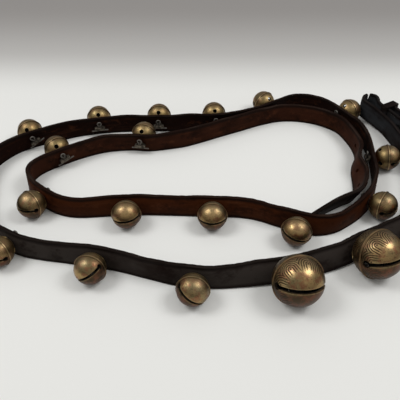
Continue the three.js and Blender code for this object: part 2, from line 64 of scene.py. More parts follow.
# Finer sizes of the leather
EDGE_ROUND = 0.9 * MM
CREASE_FROM_EDGE = 2.6 * MM
CREASE_WIDTH = 0.9 * MM
CREASE_DEPTH = 0.28 * MM
STITCH_PITCH = 3.2 * MM
STITCH_LENGTH = 2.5 * MM
STITCH_THICKNESS = 0.8 * MM
STITCH_FROM_EDGE = 3.6 * MM
STITCH_SLANT = math.radians(8)
FACE_WAVE = 0.2 * MM
EDGE_WAVE = 0.8 * MM
EDGE_NICK = 0.4 * MM
WAVY_ABOVE = 12 * MM
CRUMPLE_DEPTH = 0.7 * MM
CRUMPLE_PLACE = 50 * MM
CRUMPLE_FADE = 60 * MM
BLACK_TAIL = 58 * MM
BLACK_FADE = 20 * MM

# Bell sizes, as in the solids except for the ribs, slot ends, sound holes and cotter wire and eyes
SMALL_BELL = {
    "radius": 14.8 * MM,
    "wall": 2.2 * MM,
    "rib_height": 0.6 * MM,
    "rib_width": 1.5 * MM,
    "slot_width": 2.7 * MM,
    "slot_end": 5 * MM,
    "sound_hole": 5.4 * MM,
    "pellet": 9 * MM,
    "cotter_eye": 6.4 * MM,
    "cotter_top": 10 * MM,
}
LARGE_BELL = {
    "radius": 23.1 * MM,
    "wall": 2.8 * MM,
    "rib_height": 0.8 * MM,
    "rib_width": 1.9 * MM,
    "slot_width": 3.9 * MM,
    "slot_end": 7 * MM,
    "sound_hole": 7.4 * MM,
    "pellet": 14 * MM,
    "cotter_eye": 8.5 * MM,
    "cotter_top": 10.2 * MM,
}
LARGE_COUNT = 3
RIB_CREST = 1.2
RIB_TAPER = 0.7
CAST_ROUND = 0.35 * MM
BALL_SEGMENTS = 72
BALL_RINGS = 48
CUTTER_REACH = 1.3
SLOT_REACH = math.radians(73)
SOUND_HOLE_ANGLE = math.radians(50)
SOUND_HOLES = 4
BELL_STANDOFF = 0.4 * MM
NECK_DIAMETER = 7 * MM
NECK_CLEARANCE = 0.4 * MM
TAB_GAP = 0.9 * MM
TAB_WIDTH = 13 * MM
TAB_HEIGHT = 4.5 * MM
TAB_LENGTH = 5.5 * MM
TAB_CUTS = (-0.3, -0.12, 0.12, 0.3)
TAB_DIP = 0.9 * MM
TAB_DIP_REACH = 0.2
TAB_END_START = 0.4
TAB_END_HEIGHT = 0.62
TAB_END_LENGTH = 0.85
TAB_ROUND = 0.6 * MM
COTTER_WIRE = 1.6 * MM
COTTER_LEG_SPREAD = 21 * MM
COTTER_LEG_DROP = 3.5 * MM
COTTER_TIP_DROP = 0.2 * MM
COTTER_LEG_RISE = 0.3 * MM
COTTER_LEG_STAGGER = 0.25 * MM
PELLET_SHARE = 0.93
PELLET_ROUGHNESS = 0.03

# Buckle end sizes, as in the solids except for the finer rounding
BEND_RADIUS = 10 * MM
BEND_LEAD = 3.5 * MM
TEAR_WIDTH = 4 * MM
TEAR_DEPTH = 12 * MM
TEAR_TURN = math.radians(25)
TEAR_FOOT_SHARE = 0.3
TEAR_MOUTH_SHARE = 1.7
BACK_OFFSET = 8.5 * MM
CLOSE_PLACE = 24 * MM
HEEL_PLACE = 48 * MM
CHAPE_RETURN = 30 * MM
RETURN_GAP = 7.5 * MM
LIFT_PLACE = 60 * MM
LIFT_LENGTH = 90 * MM
CREW_SLOT_HEIGHT = 5.6 * MM
CREW_SLOT_REACH = 7 * MM
BUCKLE_BAR = 4 * MM
BUCKLE_LENGTH = 36 * MM
BUCKLE_FLARE = 1 * MM
BUCKLE_SIDE_PLAY = 1 * MM
BUCKLE_HEEL_GAP = 0.8 * MM
BUCKLE_TABLE_GAP = 0.3 * MM
BUCKLE_CORNER = BUCKLE_BAR * 1.4
BUCKLE_ROUND = 1.3 * MM
TONGUE_WIDTH = 4.4 * MM
TONGUE_THICKNESS = 3 * MM
TONGUE_PLAY = 0.3 * MM
TONGUE_OVERHANG = 3 * MM
TONGUE_BORE_SHARE = 0.6
TONGUE_RIM_SHARE = 0.65
TONGUE_ROOT = 0.4 * MM
TONGUE_TIP_SHARE = 0.6
TONGUE_ROUND = 0.7 * MM
KEEPER_PLACE = 25 * MM
KEEPER_WIDTH = 10 * MM
KEEPER_WALL = 2 * MM
KEEPER_PLAY = 1.1 * MM
KEEPER_SIDE_PLAY = 0.8 * MM
KEEPER_ROUND = 0.8 * MM
KEEPER_GRAIN_PLACE = 50 * MM

# Foot of the main run on the table in millimetres, from the bend at the buckle end to the tip of the tail
ROUTE = [
    (222, 138), (230, 124), (238, 110), (243, 93), (246, 72), (248, 51), (250, 22), (249, -6),
    (245, -32), (237, -54), (224, -72), (207, -85), (183, -98), (160, -110), (139, -122),
    (118, -131), (90, -140), (64, -145), (36, -148), (9, -149), (-23, -145), (-46, -138),
    (-75, -129), (-102, -123), (-129, -118), (-153, -114), (-171, -110), (-184, -104),
    (-198, -95), (-219, -76), (-236, -49), (-246, -18), (-248, 11), (-244, 35), (-236, 51),
    (-224, 66), (-200, 82), (-177, 93), (-148, 104), (-111, 111), (-72, 113), (-34, 114), (-3, 116),
    (36, 120), (69, 131), (86, 142), (104, 155), (121, 165), (138, 168), (154, 165), (169, 157),
    (182, 143), (195, 119), (203, 101), (207, 80), (208, 55), (205, 28), (197, -8), (187, -33),
    (169, -55), (154, -67), (138, -77), (118, -81), (97, -75), (79, -67), (60, -58), (42, -54),
    (12, -53), (-20, -51), (-60, -50), (-98, -52), (-123, -54), (-138, -53), (-151, -49),
    (-163, -42), (-174, -33), (-185, -21), (-193, -6), (-194, 6), (-189, 18), (-181, 27),
    (-170, 36), (-143, 54), (-115, 66), (-85, 70), (-63, 68), (-40, 72), (-18, 78), (5, 89),
    (28, 101), (52, 113), (77, 126), (103, 136), (120, 138), (137, 136), (153, 131), (168, 122),
    (181, 109), (188, 90), (192, 68), (191, 49), (184, 34), (179, 18), (176, 0), (173, -15),
    (166, -28), (154, -35), (139, -44), (125, -54), (113, -62),
]
BELL_PLACES = [
    218, 302, 381, 468, 564, 653, 763, 873, 957, 1034, 1108, 1193, 1303, 1405, 1488, 1581, 1673, 1763,
    1858, 1958, 2057,
]
TAIL_LEANS = [(2110, 0), (2330, 0), (2378, -2), (2416, -9), (2448, -28), (2470, -22), (2540, -20)]
CURVE_STEPS = 24

# Camera, floor and light
CAMERA_ROUTE_PLACE = (0, -430 * MM, 352.54 * MM)
CAMERA_PITCH = math.radians(41.12)
CAMERA_LENS = 43.449
SENSOR_WIDTH = 36
FLOOR_SIZE = 6
LAMP_SIDE = 0.86
LAMP_BACK = -0.08
LAMP_HEIGHT = 1.23
LAMP_SIZE = 0.65
LAMP_WATTS = 7
ROOM_STRENGTH = {"From Max": 0.7, "To Min": 0.17, "To Max": 0.53}

UP = Vector((0, 0, 1))

# How close a point lies to what it is picked by
NEAR = 1 * MM
HAIR = 0.05 * MM

# Engraved petals of a bell, as angles from its outer pole and round it from the slot
PETAL_POLAR = math.radians(62)
PETAL_TURN = math.radians(34)
PETAL_STEP = math.radians(46)
PETAL_PITCH = math.radians(5.2)

joints = {joint["name"]: joint for joint in frame["joints"]}


class Value:
    """A shader socket on which arithmetic adds Math nodes."""

    def __init__(self, paint, socket):
        self.paint = paint
        self.socket = socket

    def math(self, operation, *others):
        return self.paint.node("ShaderNodeMath", {"operation": operation}, dict(enumerate((self, *others))))

    def __add__(self, other):
        return self.math("ADD", other)

    __radd__ = __add__

    def __mul__(self, other):
        return self.math("MULTIPLY", other)

    def __sub__(self, other):
        return self.math("SUBTRACT", other)

    def __rsub__(self, other):
        return self.paint.node("ShaderNodeMath", {"operation": "SUBTRACT"}, {0: other, 1: self})

    def __truediv__(self, other):
        return self.math("DIVIDE", other)

    def __abs__(self):
        return self.math("ABSOLUTE")

    def rise(self, low, high):
        """0 below low, 1 above high, smooth between."""
        inputs = {"Value": self, "From Min": low, "From Max": high}
        return self.paint.node("ShaderNodeMapRange", {"interpolation_type": "SMOOTHSTEP"}, inputs)


class Paint:
    """A new material. Its nodes are added with their settings, and then the values or links of sockets."""

    def __init__(self, name):
        self.material = bpy.data.materials.new(name)
        self.material.use_nodes = True
        self.tree = self.material.node_tree
        self.shader = self.tree.nodes["Principled BSDF"]

    def feed(self, socket, value):
        if isinstance(value, Value):
            self.tree.links.new(value.socket, socket)
        else:
            socket.default_value = value

    def node(self, kind, settings=None, inputs=None, output=0):
        made = self.tree.nodes.new(kind)
        for key, value in (settings or {}).items():
            setattr(made, key, value)
        for key, value in (inputs or {}).items():
            self.feed(made.inputs[key], value)
        return Value(self, made.outputs[output])

    def set(self, **inputs):
        for key, value in inputs.items():
            self.feed(self.shader.inputs[key.replace("_", " ")], value)

    def place(self, attribute=None):
        """The coordinates of a surface: the object's own, or those kept in an attribute."""
        if attribute:
            return self.node("ShaderNodeAttribute", {"attribute_name": attribute}, output="Vector")
        return self.node("ShaderNodeTexCoord", output="Object")

    def axes(self, vector):
        split = self.tree.nodes.new("ShaderNodeSeparateXYZ")
        self.feed(split.inputs[0], vector)
        return [Value(self, out) for out in split.outputs]

    def stretched(self, vector, scale):
        return self.node("ShaderNodeVectorMath", {"operation": "MULTIPLY"}, {0: vector, 1: scale})

    def noise(self, vector, scale, detail=3, roughness=0.55):
        inputs = {"Vector": vector, "Scale": scale, "Detail": detail, "Roughness": roughness}
        return self.node("ShaderNodeTexNoise", {}, inputs)

    def cells(self, vector, scale):
        return self.node("ShaderNodeTexVoronoi", {}, {"Vector": vector, "Scale": scale})

    def mix(self, factor, first, second):
        return self.node("ShaderNodeMix", {"data_type": "RGBA"}, {0: factor, 6: first, 7: second}, output=2)

    def layered(self, colour, *layers):
        """A colour with others laid over it, each given as its share and its colour."""
        for share, over in layers:
            colour = self.mix(share, colour, over)
        return colour

    def bump(self, height, distance, strength=1, below=None):
        inputs = {"Height": height, "Distance": distance, "Strength": strength}
        if below:
            inputs["Normal"] = below
        return self.node("ShaderNodeBump", {}, inputs)


def rgb(red, green, blue):
    return (red, green, blue, 1)


# The strap's run


def through(points, steps):
    """Points on the centripetal Catmull-Rom curve through a list of points."""
    points = [2 * points[0] - points[1], *points, 2 * points[-1] - points[-2]]
    made = []
    for p0, p1, p2, p3 in zip(points, points[1:], points[2:], points[3:]):
        d0, d1, d2 = (math.sqrt((b - a).length) for a, b in ((p0, p1), (p1, p2), (p2, p3)))
        t1 = ((p1 - p0) / d0 - (p2 - p0) / (d0 + d1) + (p2 - p1) / d1) * d1
        t2 = ((p2 - p1) / d1 - (p3 - p1) / (d1 + d2) + (p3 - p2) / d2) * d1
        for step in range(steps):
            s = step / steps
            curve = (2 * s**3 - 3 * s**2 + 1) * p1 + (s**3 - 2 * s**2 + s) * t1
            made.append(curve + (3 * s**2 - 2 * s**3) * p2 + (s**3 - s**2) * t2)
    return [*made, points[-2]]


def smooth(x):
    x = min(max(x, 0), 1)
    return x * x * (3 - 2 * x)


route_points = [Vector((x * MM, y * MM, 0)) for x, y in ROUTE]


def distances_along(points):
    distances = [0]
    for before, after in zip(points, points[1:]):
        distances.append(distances[-1] + (after - before).length)
    return distances


def on_curve(points, distances, place):
    """Point and direction of a run of points at a distance along it."""
    low, high = 0, len(distances) - 1
    while high - low > 1:
        middle = (low + high) // 2
        low, high = (middle, high) if distances[middle] <= place else (low, middle)
    share = (place - distances[low]) / (distances[high] - distances[low])
    before, after = max(low - 4, 0), min(high + 4, len(points) - 1)
    return points[low].lerp(points[high], share), (points[after] - points[before]).normalized()


main_run = through(route_points, CURVE_STEPS)
main_distances = distances_along(main_run)
WRAP_RADIUS = BUCKLE_BAR / 2 + BUCKLE_HEEL_GAP + STRAP_THICKNESS / 2
HEEL_OFFSET = BACK_OFFSET + WRAP_RADIUS
CUT_END = HEEL_PLACE - CHAPE_RETURN


def run_frame(along):
    """Point, direction and outward side of the main run, or of its straight extension before its start."""
    point, way = on_curve(main_run, main_distances, max(along, 0))
    return point + way * min(along, 0), way, Vector((-way.y, way.x, 0))


def beside_run(along, out):
    """A point beside the main run: so far along it, and so far out from it."""
    point, _, outward = run_frame(along)
    return point + outward * out


def back_offset(along):
    """Offset of the bent-back run from the main run."""
    left = max(0, CLOSE_PLACE - along) / (CLOSE_PLACE + BEND_LEAD)
    return BACK_OFFSET + (2 * BEND_RADIUS - BACK_OFFSET) * left * left


def return_offset(along):
    """Offset of the leather that comes back from the heel bar."""
    start = back_offset(CUT_END) + STRAP_THICKNESS + RETURN_GAP
    return start + (HEEL_OFFSET + WRAP_RADIUS - start) * (along - CUT_END) / CHAPE_RETURN


def half_turn(along, out, radius, sign):
    """Points on a half turn of the leather, from its outer to its inner side."""
    _, way, outward = run_frame(along)
    turns = (math.pi * share for share in (1, 0.75, 0.5, 0.25, 0))
    ways = (sign * way * math.sin(turn) - outward * math.cos(turn) for turn in turns)
    return [beside_run(along, out) + radius * direction for direction in ways]


end_points = [
    *(beside_run(place, return_offset(place)) for place in (CUT_END, CUT_END + CHAPE_RETURN / 2)),
    *half_turn(HEEL_PLACE, HEEL_OFFSET, WRAP_RADIUS, 1),
    *(beside_run(HEEL_PLACE * share, back_offset(HEEL_PLACE * share)) for share in (0.8, 0.6, 0.4, 0.2)),
    *half_turn(-BEND_LEAD, BEND_RADIUS, BEND_RADIUS, -1),
]
run_points = through(end_points + route_points, CURVE_STEPS)
run_distances = distances_along(run_points)
END_LENGTH = run_distances[len(end_points) * CURVE_STEPS]
run_distances = [distance - END_LENGTH for distance in run_distances]
STRAP_LENGTH = run_distances[-1]


def bell_size(index):
    return LARGE_BELL if index < LARGE_COUNT else SMALL_BELL


def bell_reach(size):
    return STRAP_THICKNESS / 2 + BELL_STANDOFF + size["radius"]


def rest_lean(size):
    """Lean at which a bell and the lower edge of the strap both touch the table."""
    reach = bell_reach(size) + STRAP_THICKNESS / 2
    half = STRAP_WIDTH / 2
    on_rib = math.atan((size["radius"] + size["rib_height"] - half) / reach)
    on_body = math.asin(size["radius"] / math.hypot(half, reach)) - math.atan2(half, reach)
    return max(on_rib, on_body)


def lean_keys():
    keys = [(0, 0), (UPRIGHT_LENGTH, 0)]
    for index, place in enumerate(BELL_PLACES):
        if index > LARGE_COUNT:
            middle = (BELL_PLACES[index - 1] + place) / 2
            keys.append((middle * MM, math.radians(LEAN_BETWEEN_BELLS)))
        lean = rest_lean(bell_size(index))
        keys += [(place * MM - SEAT_LENGTH / 2, lean), (place * MM + SEAT_LENGTH / 2, lean)]
    return keys + [(place * MM, math.radians(lean)) for place, lean in TAIL_LEANS]


LEAN_KEYS = lean_keys()


def lean_at(place):
    for (start, low), (end, high) in zip(LEAN_KEYS, LEAN_KEYS[1:]):
        if place < end:
            return low + (high - low) * smooth((place - start) / (end - start))
    return LEAN_KEYS[-1][1]


BUCKLE_HEEL_HALF = STRAP_WIDTH / 2 + BUCKLE_SIDE_PLAY + BUCKLE_BAR
BUCKLE_FAR_HALF = BUCKLE_HEEL_HALF + BUCKLE_FLARE
END_LIFT = BUCKLE_FAR_HALF - STRAP_WIDTH / 2 + BUCKLE_TABLE_GAP


def section(place):
    """Foot, face and up direction of the strap at a place along it, below zero on the bent-back end."""
    place = min(max(place, -END_LENGTH), STRAP_LENGTH)
    foot, along = on_curve(run_points, run_distances, place)
    outward = Vector((-along.y, along.x, 0))
    lean = lean_at(place)
    face = outward * math.cos(lean) + UP * math.sin(lean)
    up = UP * math.cos(lean) - outward * math.sin(lean)
    lift = END_LIFT * smooth((LIFT_PLACE - place) / LIFT_LENGTH)
    lift += STRAP_THICKNESS / 2 * abs(math.sin(lean))
    return foot + UP * lift, face, up


first_foot, _, first_up = section(BELL_PLACES[0] * MM)
LAYOUT_SHIFT = Vector(joints["bell_01_swivel"]["pos_m"]) - first_foot - first_up * STRAP_WIDTH / 2
HEEL = LAYOUT_SHIFT + beside_run(HEEL_PLACE, HEEL_OFFSET) + UP * (END_LIFT + STRAP_WIDTH / 2)


# Modelling by hand


def deselect():
    bpy.ops.object.select_all(action="DESELECT")


def begin(name):
    """The primitive that was just added, renamed and with its place in its mesh."""
    obj = bpy.context.active_object
    obj.name = obj.data.name = name
    bpy.ops.object.transform_apply()
    return obj


def block(name, size, centre=(0, 0, 0)):
    deselect()
    bpy.ops.mesh.primitive_cube_add(size=1, location=centre)
    bpy.context.active_object.scale = size
    return begin(name)


def rod(name, radius, length, centre=(0, 0, 0), turn=None, sides=32):
    """A cylinder along Z, or along a direction."""
    deselect()
    rotation = Vector(turn).to_track_quat("Z", "Y").to_euler() if turn else (0, 0, 0)
    bpy.ops.mesh.primitive_cylinder_add(
        vertices=sides, radius=radius, depth=length, location=centre, rotation=rotation
    )
    return begin(name)


def activate(obj):
    deselect()
    obj.select_set(True)
    bpy.context.view_layer.objects.active = obj


def edit(obj):
    activate(obj)
    bpy.ops.object.mode_set(mode="EDIT")


def leave():
    bpy.ops.object.mode_set(mode="OBJECT")


def pick(obj, kind, test):
    """Edit mode with those vertices, edges or faces selected that pass a test."""
    edit(obj)
    bpy.ops.mesh.select_mode(type=kind)
    bpy.ops.mesh.select_all(action="DESELECT")
    leave()
    mesh = obj.data
    if kind == "VERT":
        for vertex in mesh.vertices:
            vertex.select = test(vertex.co)
    elif kind == "EDGE":
        for edge in mesh.edges:
            edge.select = test(*(mesh.vertices[i].co for i in edge.vertices))
    else:
        for face in mesh.polygons:
            face.select = test(face.center, face.normal)
    bpy.ops.object.mode_set(mode="EDIT")


def slice_all(obj, point, normal):
    """A loop of edges all round a piece where a plane meets it."""
    edit(obj)
    bpy.ops.mesh.select_mode(type="VERT")
    bpy.ops.mesh.select_all(action="SELECT")
    bpy.ops.mesh.bisect(plane_co=point, plane_no=normal)
    leave()


def finish_with(obj, kind, **settings):
    """A modifier, added with its settings and applied."""
    activate(obj)
    modifier = obj.modifiers.new(kind.title(), kind)
    for key, value in settings.items():
        setattr(modifier, key, value)
    bpy.ops.object.modifier_apply(modifier=modifier.name)


def rounded(obj, width, segments, degrees):
    """The edges that turn by more than an angle, bevelled."""
    limit = {"limit_method": "ANGLE", "angle_limit": math.radians(degrees)}
    finish_with(obj, "BEVEL", width=width, segments=segments, **limit)


def cut(obj, cutters):
    """The piece less its cutters, which may overlap one another."""
    for cutter in cutters:
        finish_with(obj, "BOOLEAN", operation="DIFFERENCE", solver="EXACT", object=cutter)
        bpy.data.objects.remove(cutter)


def joined(name, parts):
    deselect()
    for part in parts:
        part.select_set(True)
    bpy.context.view_layer.objects.active = parts[0]
    bpy.ops.object.join()
    parts[0].name = parts[0].data.name = name
    return parts[0]


def smooth_shade(obj, degrees=35):
    activate(obj)
    bpy.ops.object.shade_smooth_by_angle(angle=math.radians(degrees))


def keep_place(obj, attribute, centre=(0, 0, 0), scale=1):
    """Keeps where each vertex is now as an attribute that materials can read."""
    layer = obj.data.attributes.new(attribute, "FLOAT_VECTOR", "POINT")
    centre = Vector(centre)
    for vertex, value in zip(obj.data.vertices, layer.data):
        value.vector = (vertex.co - centre) * scale


def copied(model, name, matrix):
    obj = model.copy()
    obj.data = model.data.copy()
    obj.name = obj.data.name = name
    obj.data.transform(matrix)
    bpy.context.collection.objects.link(obj)
    return obj


def dress(obj, paint, body, replaces=()):
    obj.data.materials.clear()
    obj.data.materials.append(paint.material)
    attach(obj, body)
    if replaces:
        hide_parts(*replaces)


# Materials


def leather_paint():
    """Harness leather: grey black by the buckle, then red brown, black at the tail, dark at the edges."""
    paint = Paint("harness_leather")
    place = paint.place("strap_place")
    along, side, across = paint.axes(place)
    cloud = paint.noise(paint.stretched(place, (0.6, 1, 1)), 28, 4)
    streak = paint.noise(paint.stretched(place, (0.12, 1, 1)), 240, 3)
    stain = paint.noise(paint.stretched(place, (0.5, 1, 0.7)), 75, 5, 0.7)
    scuffs = paint.noise(paint.stretched(place, (0.7, 1, 1)), 120, 5, 0.65).rise(0.54, 0.70)
    shifted = along + (cloud - 0.5) * 0.12
    browned = shifted.rise(0.7, 0.9)
    outside = side.rise(-0.4 * MM, 0.4 * MM)
    worn_end = 1 - shifted.rise(0.02, 0.16)
    tail = along.rise(STRAP_LENGTH - BLACK_TAIL - BLACK_FADE, STRAP_LENGTH - BLACK_TAIL)
    from_middle = abs(across - STRAP_WIDTH / 2)
    near_edge = from_middle.rise(STRAP_WIDTH / 2 - 5.5 * MM, STRAP_WIDTH / 2 - 1.5 * MM)
    # Pale line at the very edges: partly wear, partly a painted highlight where the edge catches light.
    worn_and_highlit = from_middle.rise(STRAP_WIDTH / 2 - 0.8 * MM, STRAP_WIDTH / 2 - 0.2 * MM)
    near_black = rgb(0.034, 0.0275, 0.0240)
    red_brown = rgb(0.045, 0.0120, 0.0038)
    dark_inside = rgb(0.0095, 0.0030, 0.0016)
    brown_inside = rgb(0.031, 0.0095, 0.0045)
    dark_grey = rgb(0.012, 0.0125, 0.0135)
    pale_grey = rgb(0.042, 0.044, 0.048)
    cloud_brown = rgb(0.0078, 0.0030, 0.0018)
    stain_brown = rgb(0.0064, 0.0026, 0.0016)
    tan_streak_and_sheen = rgb(0.085, 0.030, 0.013)
    scuff_tan = rgb(0.090, 0.030, 0.013)
    tail_black = rgb(0.0085, 0.0080, 0.0072)
    edge_dark = rgb(0.0066, 0.0040, 0.0032)
    pale_edge_highlight = rgb(0.050, 0.038, 0.030)
    outer = paint.mix(shifted.rise(0.70, 0.92), near_black, red_brown)
    inner = paint.mix(shifted.rise(1.42, 1.58), dark_inside, brown_inside)
    colour = paint.layered(
        paint.mix(outside, inner, outer),
        (worn_end, paint.mix(streak, dark_grey, pale_grey)),
        (cloud.rise(0.45, 0.70) * 0.7, cloud_brown),
        (stain.rise(0.50, 0.68) * 0.65, stain_brown),
        # Tan streaks along the grain: partly the leather's own tone, partly a painted sheen.
        (streak.rise(0.5, 0.8) * 0.3 * browned, tan_streak_and_sheen),
        (scuffs * 0.35 * browned, scuff_tan),
        (tail * 0.85, tail_black),
        (near_edge * 0.8, edge_dark),
        (worn_and_highlit * streak.rise(0.45, 0.7) * 0.3, pale_edge_highlight),
    )
    paint.set(Base_Color=colour, Specular_IOR_Level=0.025)
    paint.set(Roughness=0.5 + cloud * 0.16 + worn_end * 0.1)
    wrinkles = paint.noise(paint.stretched(place, (1, 1, 0.35)), 160, 4)
    grain = paint.cells(place, 900)
    pores = paint.noise(place, 1500, 2)
    normal = paint.bump(wrinkles, 0.5 * MM, 0.35)
    normal = paint.bump(grain * 0.6 + pores * 0.4, 0.12 * MM, 0.5, normal)
    paint.set(Normal=normal)
    return paint


def petal_lines(paint, place):
    """Engraved petals on both halves of a bell: nested horseshoes open to the pole, with a dot in each."""
    x, y, z = paint.axes(place)
    polar = abs(z).math("MINIMUM", 1).math("ARCCOSINE")
    azimuth = abs(y).math("ARCTAN2", x)
    aside = (azimuth - PETAL_TURN).math("PINGPONG", PETAL_STEP / 2) * polar.math("SINE")
    below = polar - PETAL_POLAR
    past_apex = below.math("MAXIMUM", 0)
    turns = (aside * aside + past_apex * past_apex).math("SQRT") / PETAL_PITCH
    line = 1 - abs((turns + 0.5).math("FRACT") - 0.5).rise(0.16, 0.34)
    loops = line * turns.rise(0.5, 0.6) * polar.rise(math.radians(42), math.radians(54))
    dot = 1 - (aside * aside + below * below).math("SQRT").rise(PETAL_PITCH * 0.3, PETAL_PITCH * 0.5)
    return (loops + dot).math("MINIMUM", 1) * abs(z).rise(0.10, 0.15)


def brass_paint(name, size, engraving, rib_shine):
    """Old cast brass: olive, gold and copper; painted shade below, painted light on top, painted shade
    towards the rib; raised edges partly worn, partly a painted highlight.
    """
    paint = Paint(name)
    place = paint.place("bell_place")
    world = paint.place()
    x, y, z = paint.axes(place)
    patches = paint.noise(world, 48, 3)
    mottle = paint.noise(world, 170, 4, 0.65)
    specks = paint.noise(world, 900, 2)
    lines = petal_lines(paint, place)
    # Painted shade: the lower part of each bell is darkened, as if it reflected the shadowed table beneath
    # it.
    low = (0.22 - y + (patches - 0.5) * 0.8).rise(0.0, 0.42)
    inner_half = (0 - z).rise(0.0, 0.3)
    # Painted shade: each bell darkens from its pole towards the rib, in place of the darker rim of a ball
    # where it turns away from the light.
    shaded_towards_rib = 1 - abs(z).rise(0.05, 0.55)
    by_rib = 1 - abs(abs(z) - 0.075).rise(0.0, 0.04)
    rib = (1 - abs(z).rise(0.025, 0.045)) * rib_shine
    slot = size["slot_width"] / 2 / size["radius"]
    lips = (1 - abs(y).rise(slot + 0.02, slot + 0.05)) * z.rise(0.2, 0.3) * 0.35
    hole_aside = abs(x).math("MAXIMUM", abs(y)) * math.sin(SOUND_HOLE_ANGLE)
    from_hole = (hole_aside - z * math.cos(SOUND_HOLE_ANGLE)).math("MINIMUM", 1).math("ARCCOSINE")
    hole_edge = math.asin(size["sound_hole"] / 2 / size["radius"])
    hole_rims = 1 - abs(from_hole - hole_edge).rise(0.015, 0.05)
    # Rib, slot lips and sound-hole rims made bright: partly wear, partly a painted highlight where these
    # edges catch light.
    worn_and_highlit = rib.math("MAXIMUM", lips).math("MAXIMUM", hole_rims * 0.8) * mottle.rise(0.28, 0.55)
    radius = paint.node("ShaderNodeVectorMath", {"operation": "LENGTH"}, {0: place}, output="Value")
    inside = 1 - radius.rise(0.90, 0.97)
    olive = rgb(0.22, 0.165, 0.080)
    gold = rgb(0.40, 0.265, 0.115)
    copper = rgb(0.25, 0.105, 0.056)
    shade_below_dark = rgb(0.026, 0.018, 0.013)
    shade_below_red = rgb(0.125, 0.050, 0.030)
    speck = rgb(0.050, 0.036, 0.022)
    painted_top_light = rgb(0.48, 0.385, 0.225)
    yellow = rgb(0.31, 0.225, 0.080)
    rib_shade_dark = rgb(0.050, 0.034, 0.020)
    rib_shade_red = rgb(0.150, 0.085, 0.045)
    line_dark = rgb(0.040, 0.027, 0.017)
    rib_dirt = rgb(0.045, 0.032, 0.019)
    highlight_bright = rgb(0.48, 0.355, 0.18)
    dark_hollow = rgb(0.020, 0.015, 0.011)
    colour = paint.layered(
        paint.mix(patches.rise(0.36, 0.60), olive, gold),
        (mottle.rise(0.46, 0.62) * 0.8, copper),
        # Painted shade below, dark and coppery red.
        (low * 0.92, paint.mix(mottle.rise(0.35, 0.65), shade_below_dark, shade_below_red)),
        (specks.rise(0.54, 0.70) * 0.7, speck),
        # Painted light: the upper part of each bell is paler, as if it reflected the bright light from above.
        (y.rise(0.35, 0.95) * 0.3, painted_top_light),
        (inner_half * 0.4, yellow),
        # Painted shade towards the rib, dark and reddish.
        (shaded_towards_rib * 0.58, paint.mix(mottle.rise(0.4, 0.6), rib_shade_dark, rib_shade_red)),
        (lines * engraving, line_dark),
        (by_rib * 0.75, rib_dirt),
        (worn_and_highlit, highlight_bright),
        (inside, dark_hollow),
    )
    paint.set(Base_Color=colour, Metallic=1 - inside * 0.6)
    paint.set(Roughness=0.23 + mottle * 0.2 + low * 0.08 + lines * 0.15 + inside * 0.3)
    normal = paint.bump(mottle * 0.7 + specks * 0.3, 0.3 * MM, 0.35)
    normal = paint.bump(1 - lines, 0.4 * MM, 0.6 * engraving, normal)
    paint.set(Normal=normal)
    return paint


def iron_paint():
    """Dull iron wire and balls with a little rust."""
    paint = Paint("dull_iron")
    world = paint.place()
    rust = paint.noise(world, 420, 4)
    pits = paint.noise(world, 1600, 3)
    rusted = rust.rise(0.50, 0.70)
    iron_grey = rgb(0.15, 0.14, 0.125)
    rust_brown = rgb(0.075, 0.050, 0.034)
    bare = rgb(0.30, 0.28, 0.26)
    colour = paint.mix(rusted, iron_grey, rust_brown)
    colour = paint.mix(pits.rise(0.60, 0.80) * 0.6, colour, bare)
    paint.set(Base_Color=colour, Metallic=0.85 - rusted * 0.6, Roughness=0.45 + pits * 0.3)
    paint.set(Normal=paint.bump(pits, 0.15 * MM, 0.5))
    return paint


def shank_paint():
    """The shank's tab: the bell's own metal, greyed by handling and dirt."""
    paint = Paint("grimed_brass")
    world = paint.place()
    dirt = paint.noise(world, 300, 4)
    colour = paint.mix(dirt.rise(0.40, 0.65), rgb(0.13, 0.11, 0.085), rgb(0.035, 0.029, 0.023))
    paint.set(Base_Color=colour, Metallic=0.9, Roughness=0.42 + dirt * 0.25)
    paint.set(Normal=paint.bump(dirt, 0.2 * MM, 0.4))
    return paint


def japan_paint():
    """Black japanned iron, worn to grey in places."""
    paint = Paint("black_japan")
    world = paint.place()
    chips = paint.noise(world, 260, 4, 0.6)
    worn = chips.rise(0.62, 0.72)
    colour = paint.mix(worn, rgb(0.010, 0.010, 0.011), rgb(0.085, 0.078, 0.070))
    paint.set(Base_Color=colour, Metallic=worn * 0.8, Roughness=0.36 + chips * 0.25)
    paint.set(Normal=paint.bump(chips, 0.2 * MM, 0.35))
    return paint


def thread_paint():
    """Waxed linen thread, twisted."""
    paint = Paint("waxed_thread")
    world = paint.place()
    twist = paint.node("ShaderNodeTexWave", {"bands_direction": "DIAGONAL"}, {"Vector": world, "Scale": 900})
    colour = paint.mix(twist, rgb(0.020, 0.017, 0.014), rgb(0.050, 0.042, 0.034))
    paint.set(Base_Color=colour, Roughness=0.7)
    paint.set(Normal=paint.bump(twist, 0.15 * MM, 0.5))
    return paint


# The strap


def taper(x, height):
    """Height across the strap, drawn in towards the middle near the tail's tip."""
    share = max(0, 1 - (STRAP_LENGTH - x) / TAIL_TAPER)
    width = STRAP_WIDTH - (STRAP_WIDTH - TAIL_TIP_WIDTH) * share * share
    return STRAP_WIDTH / 2 + (height - STRAP_WIDTH / 2) * width / STRAP_WIDTH


